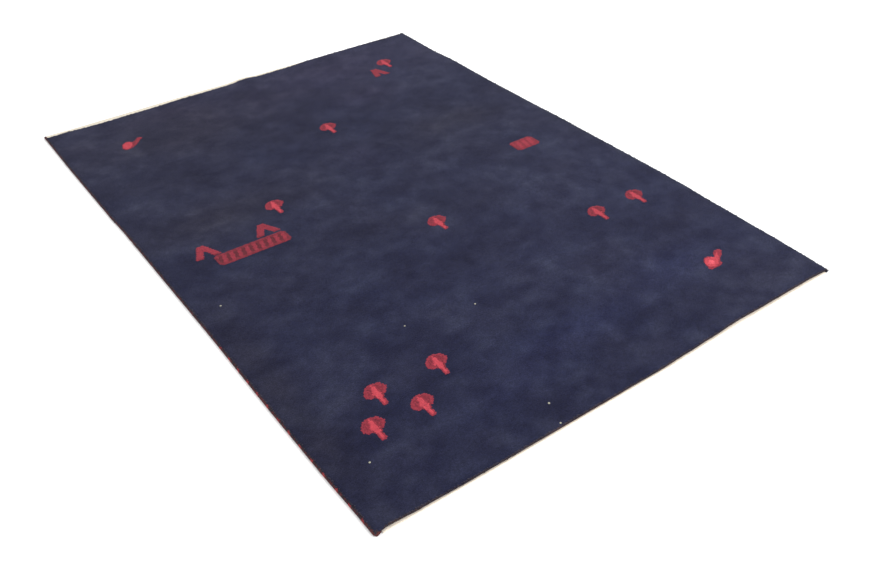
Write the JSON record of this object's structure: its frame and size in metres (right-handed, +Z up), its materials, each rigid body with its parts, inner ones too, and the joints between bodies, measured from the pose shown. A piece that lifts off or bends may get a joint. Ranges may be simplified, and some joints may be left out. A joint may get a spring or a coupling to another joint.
{
  "type": "gabbeh rug",
  "caption": "Rectangular hand-knotted pile rug lying flat, with overcast side cords and narrow flat-woven end strips; covers a floor.",
  "frame": {"origin": "on the floor, under the middle of the rug's outline", "axes": "+X across the rug, +Y along it from the near end to the far end, +Z up out of the pile"},
  "size_m": [1.4705, 2.0654, 0.0168],
  "materials": {
    "navy_wool": "short wool pile with small red motifs",
    "red_wool": "short wool pile of the knotted motifs",
    "red_and_navy_wrap": "yarn wrapped over a cord, dark with red turns",
    "dark_wrap": "dark yarn wrapped over a cord",
    "cream_wool": "undyed flat weave"
  },
  "bodies": {
    "root": {"pile_field": "navy_wool", "selvedge_left": "red_and_navy_wrap", "selvedge_right": "dark_wrap", "end_weave_near": "cream_wool", "end_weave_far": "cream_wool"}
  },
  "joints": []
}
